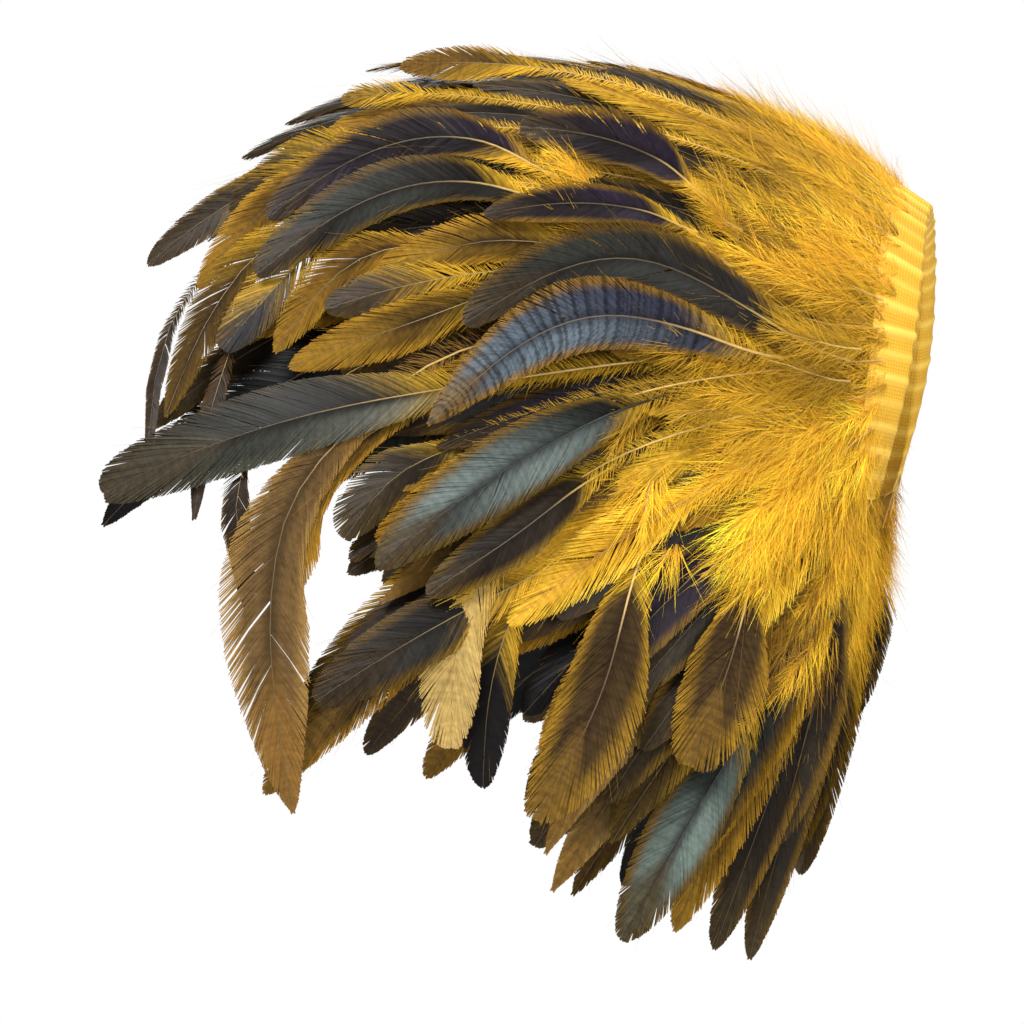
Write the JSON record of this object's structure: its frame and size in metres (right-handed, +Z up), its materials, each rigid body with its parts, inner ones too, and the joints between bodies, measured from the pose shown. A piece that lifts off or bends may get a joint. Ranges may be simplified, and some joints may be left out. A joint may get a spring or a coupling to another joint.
{
  "type": "feather shoulder piece",
  "caption": "Feather shoulder piece: a cloth crescent arching over one shoulder, its neck edge bound with tape, covered in overlapping rows of long feathers and a collar of down.",
  "frame": {"origin": "in the fold of the tape at the top of its arch, where the piece sits on the shoulder", "axes": "+Z up, +X to the wearer's neck, -X out over the arm, -Y to the wearer's front"},
  "size_m": [0.2548, 0.2725, 0.2848],
  "materials": {
    "base_cloth": "matt woven cloth",
    "edge_tape": "satin tape",
    "outer_feathers": "glossy grey-green and olive feather",
    "bronze_feathers": "dark feather with a blue and green sheen",
    "middle_feathers": "brown feather with golden edges",
    "tape_feathers": "golden yellow feather",
    "down": "soft yellow down"
  },
  "bodies": {
    "root": {"base_cloth": "base_cloth", "edge_tape": "edge_tape", "outer_feather_row": "outer_feathers", "bronze_feather_row": "bronze_feathers", "middle_feather_row": "middle_feathers", "tape_feather_row": "tape_feathers", "down_row": "down"}
  },
  "joints": []
}
